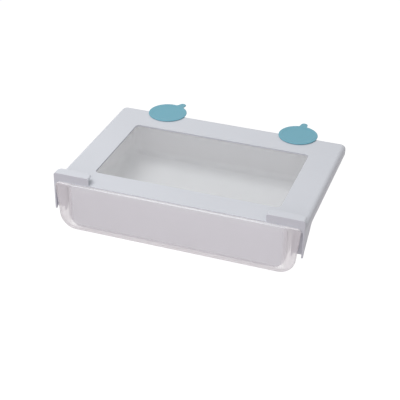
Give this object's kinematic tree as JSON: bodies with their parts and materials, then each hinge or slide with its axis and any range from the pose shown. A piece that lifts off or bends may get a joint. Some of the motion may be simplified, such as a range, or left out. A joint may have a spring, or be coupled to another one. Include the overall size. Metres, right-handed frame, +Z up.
{
  "type": "under-shelf refrigerator drawer",
  "caption": "Clear drawer that slides out of a white frame, which hooks over the front edge of a refrigerator shelf and holds to its underside with suction cups.",
  "frame": {"origin": "middle of the shelf's front lower edge when the part is hung on it: X = 0 is the middle of the part, Y = 0 the inner face of the hooks, Z = 0 the top of the frame", "axes": "+X to the right as the user faces the drawer, +Y to the back of the refrigerator, +Z up"},
  "size_m": [0.332, 0.2705, 0.0776],
  "materials": {
    "frame_plastic": "white moulded plastic, satin",
    "runner_plastic": "white moulded plastic, satin, sliding faces polished by use",
    "clear_plastic": "clear moulded plastic, slightly hazy",
    "front_plastic": "clear moulded plastic, slightly hazy",
    "cup_plastic": "soft teal plastic, satin"
  },
  "bodies": {
    "frame": {"top_frame": "frame_plastic", "left_runner": "runner_plastic", "right_runner": "runner_plastic"},
    "drawer": {"drawer_tray": "clear_plastic", "drawer_front": "front_plastic"},
    "left_cup": {"left_suction_cup": "cup_plastic"},
    "right_cup": {"right_suction_cup": "cup_plastic"}
  },
  "joints": [
    {"name": "drawer_slide", "type": "slide", "parent": "frame", "child": "drawer", "axis": [0, -1, 0], "range_m": [0, 0.16]},
    {"name": "left_cup_swivel", "type": "hinge", "parent": "frame", "child": "left_cup", "pos_m": [-0.097, 0.2271, 0], "axis": [0, 0, 1], "continuous": true},
    {"name": "right_cup_swivel", "type": "hinge", "parent": "frame", "child": "right_cup", "pos_m": [0.097, 0.2271, 0], "axis": [0, 0, 1], "continuous": true}
  ]
}
